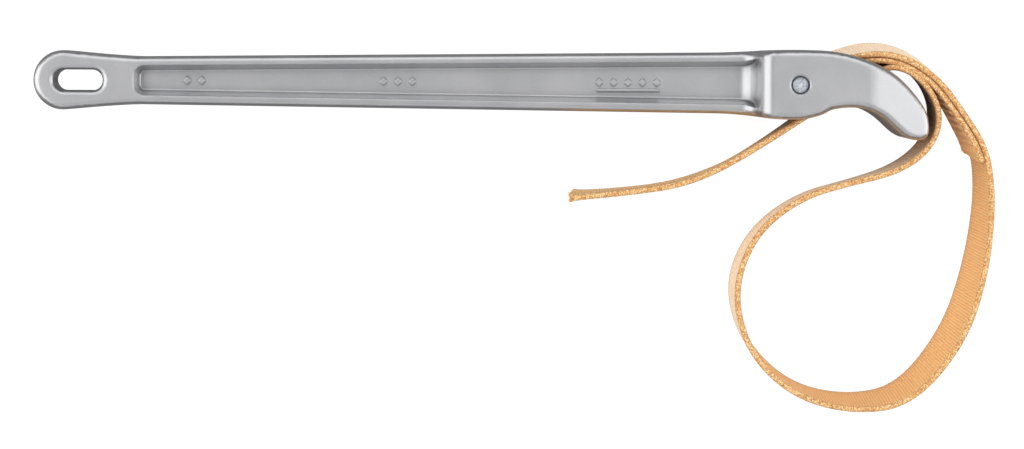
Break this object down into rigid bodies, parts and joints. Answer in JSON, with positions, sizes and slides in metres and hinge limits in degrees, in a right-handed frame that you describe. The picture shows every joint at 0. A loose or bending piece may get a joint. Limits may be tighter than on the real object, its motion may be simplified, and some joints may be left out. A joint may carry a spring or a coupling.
{
  "type": "strap wrench",
  "caption": "Strap wrench for pipe: cast aluminium handle with an I-beam section and a forked head, and a woven strap pinned in the head that loops round the pipe and back through it.",
  "frame": {"origin": "middle of the lower flat cheek of the head, which lies on the bench", "axes": "+X along the handle towards the head's nose, +Y towards the head's crown and away from the strap's loop, +Z along the strap pin, up from the bench"},
  "size_m": [0.49, 0.1863, 0.062],
  "materials": {
    "cast_aluminium": "satin, as cast and lightly blasted",
    "zinc_steel": "zinc plated, turned",
    "webbing": "heavy woven nylon webbing",
    "thread": "heavy sewing thread"
  },
  "bodies": {
    "handle": {"wrench_handle": "cast_aluminium", "strap_pin": "zinc_steel", "strap_lead": "webbing"},
    "strap": {"strap_eye_end": "webbing", "eye_stitching": "thread", "strap_loop": "webbing"},
    "tail": {"strap_tail": "webbing"}
  },
  "joints": [
    {"name": "strap_swing", "type": "hinge", "parent": "handle", "child": "strap", "pos_m": [-0.0239, -0.0006, 0.031], "axis": [0, 0, 1], "range_deg": [0, 5], "deforming": ["strap_lead"]},
    {"name": "strap_draw", "type": "slide", "parent": "handle", "child": "tail", "axis": [-0.8331, -0.5531, 0], "range_m": [0, 0.025], "deforming": ["strap_lead"]}
  ]
}
